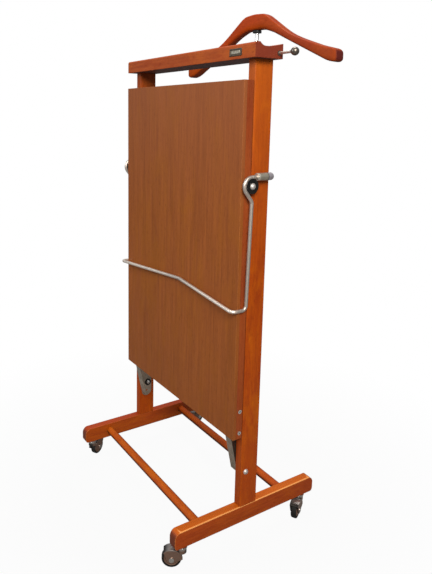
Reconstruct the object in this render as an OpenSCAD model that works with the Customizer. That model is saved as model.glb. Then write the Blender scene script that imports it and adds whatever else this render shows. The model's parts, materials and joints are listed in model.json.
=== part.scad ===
// Wheeled valet stand: a beech frame with a trouser press, a coved tray, a pull-out tie rod
// and a shaped jacket hanger. Millimetres, +Z up, front towards -Y.
// The origin is on the floor, midway between the four caster stems.

/* [Frame] */
// Width over the two uprights
stand_w = 454; // [400:1:520]
// Thickness of an upright and of a foot rail, side to side
post_t = 20; // [17:0.5:26]
// Depth of an upright, front to back
post_d = 42; // [38:0.5:54]
// Length of a foot rail, front to back
rail_len = 362; // [330:1:460]
// How far the middle of the foot rails lies behind the uprights' middle
rail_shift = 4; // [0:0.5:10]
// Height of a foot rail
rail_h = 37; // [33:0.5:48]
// Radius of a foot rail's top corners
rail_top_r = 15; // [10:0.5:17]
// Radius of a foot rail's bottom corners
rail_foot_r = 9; // [6:0.5:14]
// Rounding of the long wooden edges
edge_r = 2; // [1:0.25:3]
// Diameter of a round stretcher between the foot rails
stretcher_d = 18; // [14:0.5:22]
// Distance of each stretcher from the middle of a foot rail
stretcher_y = 109; // [90:1:125]
// Depth that a stretcher goes into a foot rail
stretcher_seat = 10; // [6:0.5:12]
// Tenon thickness at the ends of an upright
tenon_t = 8; // [6:0.5:10]
// Tenon width at the ends of an upright
tenon_w = 22; // [16:0.5:24]
// Diameter of the bolt that draws an upright down on its rail
frame_bolt_d = 6; // [5:0.5:7]
// Height of the side bolt in an upright above its rail
side_bolt_lift = 76; // [60:1:90]
// Distance of the side bolts in front of the uprights' middle
side_bolt_front = 9; // [0:0.5:13]

/* [Tray] */
// Length of the tray, side to side
tray_w = 487; // [475:1:560]
// Depth of the tray, front to back
tray_d = 64; // [60:0.5:84]
// Height of the tray at its front rim
tray_h = 27; // [26:0.5:36]
// How far the tray stands proud of the uprights at the front
tray_front = 15; // [9:0.5:20]
// Depth of the cove in the tray's top
cove_depth = 6.5; // [5:0.25:8]
// Rounding of the tray's front top edge
tray_nose_r = 5; // [3:0.25:7]

/* [Press] */
// Height of the press door
door_h = 700; // [600:1:780]
// Gap from the foot rails' top to the door's bottom edge
door_lift = 155; // [130:1:190]
// Gap from the door's top edge to the tray
tray_gap = 38; // [30:0.5:60]
// Thickness of the door's veneered front board
door_board_t = 7; // [5:0.25:10]
// Thickness of the frame behind the door's front board
door_frame_t = 15; // [13:0.25:20]
// Width of the door's top and bottom battens
batten_w = 36; // [26:0.5:50]
// Gap between the closed door and the uprights
press_gap = 2; // [1:0.25:4]
// Thickness of the fixed back board
back_board_t = 9; // [6:0.25:12]
// Thickness of each felt lining
felt_t = 3; // [2:0.25:4]
// Thickness of the liner board that carries the door's felt
liner_t = 5; // [3:0.25:8]
// Margin of a felt lining inside the frame
felt_margin = 12; // [6:0.5:20]

/* [Hinge arms] */
// Height of the door's pivots above the foot rails
pivot_lift = 90; // [80:1:105]
// Distance of the door's pivots behind the uprights' middle
pivot_back = 1; // [0:0.25:4]
// Diameter of a door pivot bolt
pivot_bolt_d = 8; // [6:0.25:9]
// Thickness of a pressed steel hinge arm
arm_t = 2; // [1.5:0.1:3]
// Width of a hinge arm at its rounded foot
arm_foot_w = 28; // [24:0.5:32]
// Distance from a pivot down to the middle of its arm's rounded foot
arm_foot_drop = 23; // [18:0.5:28]
// Distance of that foot's middle in front of the pivot
arm_foot_front = 3; // [0:0.25:5]
// Height that a hinge arm reaches up behind the door
arm_seat = 80; // [70:1:110]
// Width of the folded lip along a hinge arm's front edge
arm_lip = 20; // [8:0.5:24]

/* [Bail] */
// Diameter of the bail's wire
wire_d = 7; // [6:0.1:8]
// Height of the bail's pivots above the door's bottom edge
bail_pivot_z = 509; // [450:1:560]
// Distance of the bail's pivots in front of the door's back face
bail_pivot_in = 5.5; // [4.5:0.25:9]
// Length of a bail pivot bolt inside the door
bail_bolt_in = 12; // [8:0.5:16]
// Distance from the bail's pivots down to its front bar
bail_drop = 239; // [190:1:250]
// Diameter of the grooved bush that the wire is bent round
bush_d = 28; // [24:0.5:34]
// Length of a bail handle
handle_len = 36; // [30:0.5:52]
// Diameter of a bail handle
handle_d = 14.5; // [12:0.25:17]
// Gap between a bail handle and the upright beside it
bail_gap = 3.75; // [2:0.25:6]
// How far the bail's arms hang behind its pivots
bail_set = 1; // [0:0.25:3]
// Distance of the bar's bend to the right of the middle
kink_x = 23; // [0:1:80]
// Rise of the bar at its bend
kink_rise = 15; // [4:0.5:20]
// How far the bar's corners stand in front of its bend
bar_bow = 11.5; // [4:0.5:14]
// Diameter of a bail pivot bolt's shank
bail_bolt_d = 5; // [4:0.25:6]

/* [Tie rod] */
// Diameter of the pull-out tie rod
rod_d = 5; // [4:0.1:6]
// Length of the tie rod
rod_len = 200; // [140:1:215]
// How far the rod stands out of the tray as shown
rod_out = 33; // [5:1:100]
// Diameter of the rod's ball knob
knob_d = 15; // [12:0.5:20]
// Distance of the rod from the tray's back face
rod_in = 9; // [8:0.25:12]
// Height of the rod above the tray's underside
rod_up = 10; // [8:0.25:12]

/* [Hanger] */
// Width of the hanger over its tips
hanger_w = 438; // [400:1:480]
// Thickness of the hanger at its middle, front to back
hanger_t = 24; // [20:0.5:30]
// Thickness of the hanger at its tips
tip_t = 28.5; // [22:0.5:34]
// Height of the hanger's crown at its middle
crown_h = 35; // [28:0.5:40]
// Drop of the hanger's tips below its underside at the middle
tip_drop = 90; // [70:1:100]
// Height of a hanger tip
tip_h = 26; // [20:0.5:30]
// Rounding of the hanger's tips
tip_r = 10; // [6:0.5:14]
// Height of the hanger's underside above the tray
hanger_lift = 63; // [50:1:90]
// Distance of the hanger's post behind the tray
post_back = 138; // [120:1:160]
// Angle that the hanger is turned on its post
hanger_turn = 9.3; // [0:0.1:12]
// Angle that the hanger leans, its right tip higher
hanger_lean = 1.8; // [0:0.1:2]
// Diameter of the hanger's post
post_rod_d = 8; // [7:0.25:12]
// Bend radius of the hanger's post
post_bend_r = 25; // [20:0.5:35]
// Angle that the post climbs from the tray
post_slope = 16; // [8:1:25]
// Height of the post's bore above the tray's underside
post_up = 15; // [13.5:0.25:16]
// Diameter of the cap under the hanger
cap_d = 20; // [16:0.5:24]
// Thickness of the cap under the hanger
cap_t = 5; // [3:0.25:7]

/* [Casters] */
// Diameter of a caster wheel
wheel_d = 39; // [36:0.5:50]
// Width of a caster's tyre
tyre_w = 12; // [10:0.5:18]
// Thickness of the rubber round a caster wheel
tyre_t = 4; // [3:0.25:6]
// Distance of the wheel's axle behind the caster's stem
trail = 20; // [17:0.5:23]
// Thickness of the caster's pressed hood
hood_t = 1.6; // [1.2:0.1:2.2]
// Diameter of the caster's stem
stem_d = 8; // [6:0.25:9]
// Length of the caster's stem inside the foot rail
stem_len = 26; // [20:0.5:30]
// Mean distance of a rail's two caster stems from its ends
stem_in = 26; // [20:0.5:40]
// Swivel angles of the front left, front right, rear left and rear right casters
caster_turn = [120, -122, 100, -60];

/* [Hidden] */

FRONT_LEFT = 0;
FRONT_RIGHT = 1;
REAR_LEFT = 2;
REAR_RIGHT = 3;

// Clearances
running = 0.05;      // radial, a shaft that turns in its bore
fixing = 0.02;       // radial, a bolt or pin held in its hole
joint_gap = 0.1;     // round a tenon or a dowel in its mortise
side_gap = 0.4;      // between flat faces that slide past each other
free_gap = 0.6;      // between curved faces of pieces that move

// Casters
swivel_gap = 0.3;
hood_gap = 0.8;
neck_rise = 1.8;
flange_t = 2.5;
flange_d = 22;
neck_d = 19;
axle_d = 6;
wheel_r = wheel_d/2;
hood_r = wheel_r + hood_gap + hood_t;
hood_inner_w = tyre_w + 4;
hood_w = hood_inner_w + 2*hood_t;
hub_face_w = tyre_w + 1.6;
hood_boss_d = 16;
hood_reach = 2*hood_r;
hood_front_angle = 12;
hood_rear_angle = 60;
axle_head_d = 10;
axle_head_t = 1.2;
ring_t = 2;
ring_up = 4;
stem_up = 1;
stem_ring_d = stem_d + 2.4;
rim_r = wheel_r - tyre_t;
rim_bead = 2.5;
tyre_edge_r = 2.5;
neck_top = wheel_r + hood_r + neck_rise;
neck_bottom = wheel_r + sqrt(pow(wheel_r + hood_gap, 2) - pow(trail - stem_d/2, 2));

// Frame levels and sides
rail_z = neck_top + swivel_gap + flange_t;
rail_top = rail_z + rail_h;
door_z = rail_top + door_lift;
door_top = door_z + door_h;
tray_z = door_top + tray_gap;
tray_top = tray_z + tray_h;
side_x = stand_w/2;
post_x = side_x - post_t/2;
inner_x = side_x - post_t;
front_y = -post_d/2;
stem_y = rail_len/2 - stem_in;
tenon_deep = 22;
tray_tenon_deep = 11;
bolt_head_d = 12;
bolt_head_t = 6;
bolt_socket_d = 5;
bolt_socket_deep = 3;
bolt_sink = 1;
frame_bolt_up = 34;
side_bolt_d = 5;
side_bolt_in = 12;
side_head_d = 12;
side_head_t = 4;
side_bolt_z = rail_top + side_bolt_lift;

// Tray
tray_y0 = front_y - tray_front;
tray_y1 = tray_y0 + tray_d;
cove_z = tray_top - cove_depth;
cove_front_r = 16;
cove_y = tray_y0 + tray_nose_r + 19;
cove_back_y = tray_y1 - 3;
cove_back_rise = cove_depth - 1;
cove_back_r = (pow(cove_back_y - cove_y, 2) + pow(cove_back_rise, 2))/(2*cove_back_rise);
tray_back_r = 2;

// Press door
door_back_y = front_y - press_gap;
door_mid_y = door_back_y - door_frame_t;
door_front_y = door_mid_y - door_board_t;
stile_x = inner_x - side_gap;
liner_gap = 0.3;
arm_slot = arm_t + 0.6;
felt_x = stile_x - arm_slot - felt_margin;
felt_z0 = door_z + batten_w + felt_margin;
felt_z1 = door_top - batten_w - felt_margin;
liner_y1 = door_back_y - felt_t;

// Back board
board_y0 = front_y + felt_t - press_gap/2;
board_z0 = door_z + 10;
board_z1 = door_top - 8;
board_seat = 6;

// Hinge arms
pivot_y = pivot_back;
pivot_z = rail_top + pivot_lift;
foot_r = arm_foot_w/2;
foot_y = pivot_y - arm_foot_front;
foot_z = pivot_z - arm_foot_drop;
arm_x0 = stile_x - arm_t;
washer_d = 17;
washer_t = 2.5;
washer_x = arm_x0 - side_gap - washer_t;
pivot_head_d = 10;
pivot_head_t = 3.5;
pivot_seat = 14;
arm_bend_drop = 2;
arm_heel_drop = 4;
arm_screw_d = 4;
arm_screw_head_d = 8;
arm_screw_head_t = 1;
arm_screw_z = [12, 58];
arm_top_y0 = door_mid_y + 3;
arm_top_y1 = door_back_y - 0.5;
arm_screw_y = (arm_top_y0 + arm_top_y1)/2;
stop_hole_d = 5;

// Bail
wire_r = wire_d/2;
bail_y = door_back_y - bail_pivot_in;
bail_z = door_z + bail_pivot_z;
groove_deep = 0.5;
eye_r = bush_d/2 + wire_r - groove_deep;
wire_x = side_x + bail_gap + handle_d/2;
bush_w = wire_d - 2;
bar_x = side_x + wire_r + free_gap;
collar_d = bail_bolt_d + 4;
eye_turn = 128;
neck_turn = eye_turn - 90;
neck_r = 12;
bar_foot_r = 9;
corner_r = 10;
kink_r = 28;
eye_end_y = bail_y - eye_r*sin(eye_turn);
eye_end_z = bail_z + eye_r*cos(eye_turn);
arm_line_y = bail_y + bail_set;
neck_y = arm_line_y - neck_r*(1 - cos(neck_turn));
neck_z = eye_end_z - (neck_y - eye_end_y)/tan(neck_turn);
arm_line_z = neck_z - neck_r*sin(neck_turn);
bar_z = bail_z - bail_drop;
kink_y = door_front_y - wire_r - side_gap;
bar_y = kink_y - bar_bow;
kink_z = bar_z + kink_rise;
bail_head_d = 12.5;
bail_head_t = 4.5;
handle_r = handle_d/2;
handle_y0 = bail_y + sqrt(pow(bush_d/2 + free_gap, 2) - pow(eye_r - handle_r, 2));
handle_z = bail_z + eye_r;
handle_end = 6;
handle_nose = 0.6*handle_r;
seam_lap = 0.5;
seam_step = 0.1;

// Tie rod
rod_y = tray_y1 - rod_in;
rod_z = tray_z + rod_up;
rod_end_x = tray_w/2 + rod_out;
rod_bore_len = rod_len + 18;
ferrule_d = 9;
ferrule_body_d = 7;
ferrule_t = 1.5;
ferrule_in = 6;
knob_hole = 8;
knob_neck_d = rod_d + 3;

// Hanger
hanger_y = tray_y1 + post_back;
hanger_z = tray_top + hanger_lift;
hanger_half = hanger_w/2;
plug_d = 13;
plug_up = 18;
spigot_d = post_rod_d - 2;
spigot_up = 14;
post_z = tray_z + post_up;
post_in = 24;
post_flange_d = 22;
post_flange_t = 3;
post_flange_taper = 3;
post_turn = 90 - post_slope;
post_bend_y = hanger_y - post_bend_r;
post_run_y = post_bend_y + post_bend_r*cos(post_turn);
post_run = (post_run_y - tray_y1)/cos(post_slope);
post_bend_z = post_z + post_run*sin(post_slope) + post_bend_r*sin(post_turn);

// Shares of the hanger's half width, and of the fall from its crown or its underside to a tip
crown_shape = [[0, 0], [0.135, 0.025], [0.377, 0.43], [0.466, 0.555], [0.575, 0.667], [0.81, 0.873], [1, 1]];
under_shape = [[0, 0], [0.11, 0], [0.24, 0.115], [0.9, 0.955], [1, 1]];
shape_soften = 0.03;
tip_end_h = 0.45;
tip_end_t = 0.75;
crown_pow = 0.28;
belly_pow = 0.65;
belly_tip_pow = 0.35;
arm_rings = 24;
tip_rings = 6;
ring_sides = 20;
tip_starts = hanger_half - tip_r;
half_xs = concat([for (i = [0:arm_rings]) tip_starts*i/arm_rings],
                 [for (i = [1:tip_rings]) tip_starts + tip_r*sin(90*i/tip_rings)]);
hanger_xs = concat([for (i = [len(half_xs) - 1:-1:1]) -half_xs[i]], half_xs);

function side_sign(side) = side == FRONT_LEFT || side == REAR_LEFT ? -1 : 1;
function end_sign(side) = side == FRONT_LEFT || side == FRONT_RIGHT ? -1 : 1;
function unit(v) = v/norm(v);
function mix(a, b, t) = a + (b - a)*t;

// ---- plain wooden bars ----

// A bar along Z with its four long edges rounded, centred on X and Y
module rounded_bar(w, d, h, r) {
    translate([-w/2 + r, -d/2, 0]) cube([w - 2*r, d, h]);
    translate([-w/2, -d/2 + r, 0]) cube([w, d - 2*r, h]);
    for (sx = [-1, 1], sy = [-1, 1])
        translate([sx*(w/2 - r), sy*(d/2 - r), 0]) cylinder(r = r, h = h, $fn = 32);
}

// A tenon, or its mortise with a gap all round
module tenon(deep, gap) {
    translate([-tenon_t/2 - gap, -tenon_w/2 - gap, 0])
        cube([tenon_t + 2*gap, tenon_w + 2*gap, deep + gap]);
}

module upright(sx) {
    color("sienna") difference() {
        union() {
            translate([sx*post_x, 0, rail_top])
                rounded_bar(post_t, post_d, tray_z - rail_top, edge_r);
            translate([sx*post_x, 0, rail_top]) mirror([0, 0, 1]) tenon(tenon_deep, 0);
            translate([sx*post_x, 0, tray_z]) tenon(tray_tenon_deep, 0);
        }
        translate([sx*post_x, 0, rail_z])
            cylinder(d = frame_bolt_d + 2*fixing, h = rail_h + frame_bolt_up, $fn = 32);
        translate([sx*inner_x - board_seat - joint_gap, board_y0 - joint_gap, board_z0 - joint_gap])
            cube([2*(board_seat + joint_gap), back_board_t + 2*joint_gap, board_z1 - board_z0 + 2*joint_gap]);
        translate([sx*(inner_x - 1), pivot_y, pivot_z]) rotate([0, sx*90, 0])
            cylinder(d = pivot_bolt_d + 2*fixing, h = pivot_seat + 1 + joint_gap, $fn = 32);
        translate([sx*(side_x + 1), -side_bolt_front, side_bolt_z]) rotate([0, -sx*90, 0])
            cylinder(d = side_bolt_d + 2*fixing, h = side_bolt_in + 1 + joint_gap, $fn = 32);
    }
}

// The side outline of a foot rail across its whole thickness, resting on Z = 0
module rail_outline() {
    straight = rail_h - rail_top_r - rail_foot_r;
    translate([-post_t/2, -rail_len/2 + rail_foot_r, 0])
        cube([post_t, rail_len - 2*rail_foot_r, rail_h - rail_top_r]);
    translate([-post_t/2, -rail_len/2 + rail_top_r, rail_foot_r])
        cube([post_t, rail_len - 2*rail_top_r, rail_h - rail_foot_r]);
    translate([-post_t/2, -rail_len/2, rail_foot_r]) cube([post_t, rail_len, straight]);
    for (sy = [-1, 1]) {
        translate([0, sy*(rail_len/2 - rail_foot_r), rail_foot_r]) rotate([0, 90, 0])
            cylinder(r = rail_foot_r, h = post_t, center = true, $fn = 64);
        translate([0, sy*(rail_len/2 - rail_top_r), rail_h - rail_top_r]) rotate([0, 90, 0])
            cylinder(r = rail_top_r, h = post_t, center = true, $fn = 64);
    }
}

module foot_rail(sx) {
    color("sienna") difference() {
        intersection() {
            translate([sx*post_x, rail_shift, rail_z]) rail_outline();
            translate([sx*post_x, rail_shift + rail_len/2, rail_z + rail_h/2]) rotate([90, 0, 0])
                rounded_bar(post_t, rail_h, rail_len, edge_r);
        }
        translate([sx*post_x, 0, rail_top + 0.01]) mirror([0, 0, 1]) tenon(tenon_deep, joint_gap);
        translate([sx*post_x, 0, rail_z - 1])
            cylinder(d = frame_bolt_d + 2*fixing, h = rail_h, $fn = 32);
        translate([sx*post_x, 0, rail_z - 1])
            cylinder(d = bolt_head_d + 1, h = bolt_head_t + bolt_sink + 1, $fn = 32);
        for (sy = [-1, 1]) {
            translate([sx*(inner_x - 1), sy*stretcher_y, rail_z + rail_h/2]) rotate([0, sx*90, 0])
                cylinder(d = stretcher_d + 2*fixing, h = stretcher_seat + 1 + joint_gap, $fn = 48);
            translate([sx*post_x, sy*stem_y, rail_z - 1])
                cylinder(d = stem_d + 2*fixing, h = stem_len + 1 + joint_gap, $fn = 32);
        }
    }
}

module stretcher(sy) {
    color("chocolate") translate([0, sy*stretcher_y, rail_z + rail_h/2]) rotate([0, 90, 0])
        cylinder(d = stretcher_d, h = 2*(inner_x + stretcher_seat), center = true, $fn = 48);
}

module frame_bolts() {
    color("silver") for (sx = [-1, 1]) translate([sx*post_x, 0, rail_z + bolt_sink]) difference() {
        union() {
            cylinder(d = bolt_head_d, h = bolt_head_t, $fn = 32);
            cylinder(d = frame_bolt_d, h = rail_h + frame_bolt_up - 5*bolt_sink, $fn = 32);
        }
        translate([0, 0, -1]) cylinder(d = bolt_socket_d, h = bolt_socket_deep + 1, $fn = 6);
    }
}

module side_bolts() {
    color("silver") for (sx = [-1, 1]) translate([sx*side_x, -side_bolt_front, side_bolt_z])
        rotate([0, sx*90, 0]) {
            dome(side_head_d, side_head_t);
            translate([0, 0, -side_bolt_in]) cylinder(d = side_bolt_d, h = side_bolt_in + 1, $fn = 32);
        }
}

// ---- tray ----

// A long cut along X whose section is a corner left square outside a radius
module nose_cut(y, z, r, sy) {
    difference() {
        translate([-tray_w/2 - 1, sy < 0 ? y - r - 1 : y, z]) cube([tray_w + 2, r + 1, r + 1]);
        translate([0, y, z]) rotate([0, 90, 0]) cylinder(r = r, h = tray_w + 4, center = true, $fn = 48);
    }
}

module tray() {
    color("sienna") difference() {
        translate([-tray_w/2, tray_y0, tray_z]) cube([tray_w, tray_d, tray_h]);
        nose_cut(tray_y0 + tray_nose_r, tray_top - tray_nose_r, tray_nose_r, -1);
        nose_cut(tray_y1 - tray_back_r, tray_top - tray_back_r, tray_back_r, 1);
        // steep front of the cove
        intersection() {
            translate([0, cove_y, cove_z + cove_front_r]) rotate([0, 90, 0])
                cylinder(r = cove_front_r, h = tray_w + 2, center = true, $fn = 96);
            translate([-tray_w/2 - 2, cove_y - 2*cove_front_r, cove_z - 1])
                cube([tray_w + 4, 2*cove_front_r + 0.01, cove_depth + 2]);
        }
        // shallow back of the cove
        intersection() {
            translate([0, cove_y, cove_z + cove_back_r]) rotate([0, 90, 0])
                cylinder(r = cove_back_r, h = tray_w + 2, center = true, $fn = 180);
            translate([-tray_w/2 - 2, cove_y, cove_z - 1])
                cube([tray_w + 4, tray_d, cove_depth + 2]);
        }
        for (sx = [-1, 1]) translate([sx*post_x, 0, tray_z - 0.01]) tenon(tray_tenon_deep, joint_gap);
        translate([tray_w/2 - rod_bore_len, rod_y, rod_z]) rotate([0, 90, 0])
            cylinder(d = rod_d + 2*running, h = rod_bore_len + 1, $fn = 32);
        translate([tray_w/2 - ferrule_in - joint_gap, rod_y, rod_z]) rotate([0, 90, 0])
            cylinder(d = ferrule_body_d + 2*fixing, h = ferrule_in + 1, $fn = 32);
        along_post(-post_in - joint_gap) cylinder(d = post_rod_d + 2*fixing, h = 2*post_in, $fn = 48);
    }
}

module rod_ferrule() {
    color("silver") translate([tray_w/2, rod_y, rod_z]) rotate([0, 90, 0]) difference() {
        union() {
            cylinder(d = ferrule_d, h = ferrule_t, $fn = 32);
            translate([0, 0, -ferrule_in]) cylinder(d = ferrule_body_d, h = ferrule_in, $fn = 32);
        }
        translate([0, 0, -ferrule_in - 1])
            cylinder(d = rod_d + 2*running, h = ferrule_in + ferrule_t + 2, $fn = 32);
    }
}

module tie_rod() {
    color("gray") translate([rod_end_x - rod_len, rod_y, rod_z]) rotate([0, 90, 0])
        cylinder(d = rod_d, h = rod_len + knob_hole, $fn = 32);
}

module tie_rod_knob() {
    color("gray") difference() {
        union() {
            translate([rod_end_x + knob_d/2, rod_y, rod_z]) sphere(d = knob_d, $fn = 48);
            translate([rod_end_x, rod_y, rod_z]) rotate([0, 90, 0])
                cylinder(d = knob_neck_d, h = knob_d/2, $fn = 32);
        }
        translate([rod_end_x - 1, rod_y, rod_z]) rotate([0, 90, 0])
            cylinder(d = rod_d + 2*fixing, h = knob_hole + 1 + joint_gap, $fn = 32);
    }
}

// ---- press: fixed back board ----

module press_back_board() {
    color("peru") translate([-inner_x - board_seat, board_y0, board_z0])
        cube([2*(inner_x + board_seat), back_board_t, board_z1 - board_z0]);
}

module press_back_felt() {
    color("darkolivegreen") translate([-felt_x, board_y0 - felt_t, felt_z0])
        cube([2*felt_x, felt_t, felt_z1 - felt_z0]);
}

// ---- press: door ----

module door_panel() {
    color("saddlebrown") translate([-side_x, door_front_y, door_z])
        cube([stand_w, door_board_t, door_h]);
}

module door_stile(sx) {
    color("sienna") difference() {
        translate([sx > 0 ? stile_x : -side_x, door_mid_y, door_z])
            cube([side_x - stile_x, door_frame_t, door_h]);
        for (z = arm_screw_z) translate([sx*side_x, arm_screw_y, door_z + z]) rotate([0, -sx*90, 0]) {
            translate([0, 0, -1]) cylinder(d = arm_screw_d + 2*fixing, h = 2*post_t, $fn = 32);
            translate([0, 0, -1])
                cylinder(d = arm_screw_head_d + 2*joint_gap, h = arm_screw_head_t + 1, $fn = 32);
        }
        translate([sx*(side_x + 1), bail_y, bail_z]) rotate([0, -sx*90, 0])
            cylinder(d = bail_bolt_d + 2*fixing, h = bail_bolt_in + 1 + joint_gap, $fn = 32);
    }
}

module door_batten(z, half) {
    color("sienna") translate([-half, door_mid_y, z]) cube([2*half, door_frame_t, batten_w]);
}

module door_liner() {
    color("burlywood")
        translate([-stile_x + arm_slot, liner_y1 - liner_t, door_z + batten_w + liner_gap])
            cube([2*(stile_x - arm_slot), liner_t, door_h - 2*batten_w - 2*liner_gap]);
}

module door_felt() {
    color("darkolivegreen") translate([-felt_x, liner_y1, felt_z0])
        cube([2*felt_x, felt_t, felt_z1 - felt_z0]);
}

// Outline of a hinge arm in Y and Z: a round foot, a tapering leg and a seat behind the door
module arm_plate(t) {
    translate([0, foot_y, foot_z]) rotate([0, 90, 0]) cylinder(r = foot_r, h = t, $fn = 64);
    rotate([90, 0, 90]) linear_extrude(t) polygon([
        [foot_y - foot_r, foot_z], [foot_y + foot_r, foot_z], [foot_y + foot_r, pivot_z + washer_d/2],
        [arm_top_y1, door_z - arm_heel_drop], [arm_top_y1, door_z + arm_seat],
        [arm_top_y0, door_z + arm_seat], [arm_top_y0, door_z - arm_bend_drop]
    ]);
}

// Folded lip along the front edge of the leg, square to the plate
module arm_lip_strip(t, wide) {
    rotate([90, 0, 90]) linear_extrude(wide) polygon([
        [foot_y - foot_r, foot_z], [foot_y - foot_r + t, foot_z],
        [arm_top_y0 + t, door_z - arm_bend_drop], [arm_top_y0 + t, door_z - side_gap],
        [arm_top_y0, door_z - side_gap], [arm_top_y0, door_z - arm_bend_drop]
    ]);
}

module hinge_arm(sx) {
    color("gray") mirror([sx < 0 ? 1 : 0, 0, 0]) difference() {
        union() {
            translate([arm_x0, 0, 0]) arm_plate(arm_t);
            translate([arm_x0 - arm_lip + arm_t, 0, 0]) arm_lip_strip(arm_t, arm_lip);
        }
        translate([arm_x0 - 1, pivot_y, pivot_z]) rotate([0, 90, 0])
            cylinder(d = pivot_bolt_d + 2*running, h = arm_t + 2, $fn = 32);
        translate([arm_x0 - 1, foot_y, foot_z]) rotate([0, 90, 0])
            cylinder(d = stop_hole_d, h = arm_t + 2, $fn = 32);
        for (z = arm_screw_z) translate([arm_x0 - 1, arm_screw_y, door_z + z]) rotate([0, 90, 0])
            cylinder(d = arm_screw_d + 2*fixing, h = arm_t + 2, $fn = 32);
    }
}

module hinge_arm_screws() {
    color("silver") for (sx = [-1, 1], z = arm_screw_z)
        translate([sx*side_x, arm_screw_y, door_z + z]) rotate([0, -sx*90, 0]) {
            cylinder(d = arm_screw_head_d, h = arm_screw_head_t, $fn = 32);
            cylinder(d = arm_screw_d, h = side_x - arm_x0, $fn = 32);
        }
}

// A shallow dome, flat side down
module dome(d, t) {
    r = (d*d/4 + t*t)/(2*t);
    intersection() {
        translate([0, 0, t - r]) sphere(r = r, $fn = 64);
        cylinder(d = d, h = t + 1, $fn = 48);
    }
}

module door_pivot_bolts() {
    shank = inner_x + pivot_seat - washer_x;
    color("silver") for (sx = [-1, 1]) translate([sx*washer_x, pivot_y, pivot_z]) rotate([0, -sx*90, 0]) {
        dome(pivot_head_d, pivot_head_t);
        translate([0, 0, -shank]) cylinder(d = pivot_bolt_d, h = shank, $fn = 32);
    }
}

module door_pivot_washers() {
    color("dimgray") for (sx = [-1, 1]) translate([sx*washer_x, pivot_y, pivot_z]) rotate([0, sx*90, 0])
        difference() {
            cylinder(d = washer_d, h = washer_t, $fn = 48);
            translate([0, 0, -1]) cylinder(d = pivot_bolt_d + 2*fixing, h = washer_t + 2, $fn = 32);
        }
}

// ---- bail ----

// A straight run of wire from a to b, a hair thicker than the bends and lapping over their ends
module wire_run(a, b) {
    v = b - a;
    l = norm(v) + 2*seam_lap;
    translate(a - unit(v)*seam_lap) rotate([0, acos(unit(v)[2]), atan2(v[1], v[0])])
        cylinder(d = wire_d + seam_step, h = l, $fn = 24);
}

// A bend of wire about centre c, from direction u towards direction v, both square unit vectors
module wire_bend(c, u, v, r, angle) {
    w = cross(u, v);
    multmatrix([[u[0], v[0], w[0], c[0]], [u[1], v[1], w[1], c[1]], [u[2], v[2], w[2], c[2]], [0, 0, 0, 1]])
        rotate_extrude(angle = angle, $fn = 64) translate([r, 0]) circle(d = wire_d, $fn = 24);
}

// Corner of a run a-p-b rounded to radius r: [tangent point in, tangent point out, centre, u, v, turn]
function corner(a, p, b, r) =
    let (d1 = unit(p - a), d2 = unit(b - p), turn = acos(d1*d2), t = r*tan(turn/2),
         p1 = p - d1*t, p2 = p + d2*t, n = unit(d2 - d1*(d1*d2)), c = p1 + n*r)
    [p1, p2, c, -n, d1, turn];

function bar_left() = [-bar_x, bar_y, bar_z];
function bar_right() = [bar_x, bar_y, bar_z];
function bar_kink() = [kink_x, kink_y, kink_z];

// The corner at the foot of one arm, where the wire turns forward to the bar
function arm_foot(sx) =
    let (x = sx*bar_x)
    corner([sx*wire_x, arm_line_y, arm_line_z], [x, arm_line_y, bar_z], [x, bar_y, bar_z], bar_foot_r);

// One side of the wire: handle spigot, eye round the bush, neck, arm and foot bend
module bail_side(sx) {
    x = sx*wire_x;
    foot = arm_foot(sx);
    wire_run([x, handle_y0 + handle_len - handle_end, handle_z], [x, bail_y, handle_z]);
    wire_bend([x, bail_y, bail_z], [0, 0, 1], [0, -1, 0], eye_r, eye_turn);
    wire_run([x, eye_end_y, eye_end_z], [x, neck_y, neck_z]);
    wire_bend([x, arm_line_y - neck_r, arm_line_z], [0, 1, 0], [0, 0, 1], neck_r, neck_turn);
    wire_run([x, arm_line_y, arm_line_z], foot[0]);
    wire_bend(foot[2], foot[3], foot[4], bar_foot_r, foot[5]);
}

module bail_wire() {
    left = corner([-bar_x, arm_line_y, bar_z], bar_left(), bar_kink(), corner_r);
    right = corner([bar_x, arm_line_y, bar_z], bar_right(), bar_kink(), corner_r);
    kink = corner(bar_left(), bar_kink(), bar_right(), kink_r);
    color("rosybrown") {
        for (sx = [-1, 1]) bail_side(sx);
        wire_run(arm_foot(-1)[1], left[0]);
        wire_bend(left[2], left[3], left[4], corner_r, left[5]);
        wire_run(left[1], kink[0]);
        wire_bend(kink[2], kink[3], kink[4], kink_r, kink[5]);
        wire_run(kink[1], right[1]);
        wire_bend(right[2], right[3], right[4], corner_r, right[5]);
        wire_run(arm_foot(1)[1], right[0]);
    }
}

module bail_handle(sx) {
    color("darkgray") translate([sx*wire_x, handle_y0, handle_z]) rotate([-90, 0, 0]) difference() {
        union() {
            cylinder(r = handle_r, h = handle_len - handle_nose, $fn = 48);
            translate([0, 0, handle_len - handle_nose]) intersection() {
                sphere(r = handle_r, $fn = 48);
                translate([0, 0, -1]) cylinder(r = handle_r + 1, h = handle_nose + 1, $fn = 48);
            }
        }
        translate([0, 0, -1]) cylinder(d = wire_d + seam_step + 2*fixing,
            h = handle_len - handle_end + seam_lap + joint_gap + 1, $fn = 32);
    }
}

module bail_bush(sx) {
    color("dimgray") translate([sx*wire_x, bail_y, bail_z]) rotate([0, 90, 0]) difference() {
        cylinder(d = bush_d, h = bush_w, center = true, $fn = 96);
        rotate_extrude($fn = 96) translate([eye_r, 0]) circle(d = wire_d + seam_step + 2*fixing, $fn = 32);
        cylinder(d = bail_bolt_d + 2*running, h = bush_w + 2, center = true, $fn = 32);
    }
}

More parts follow.
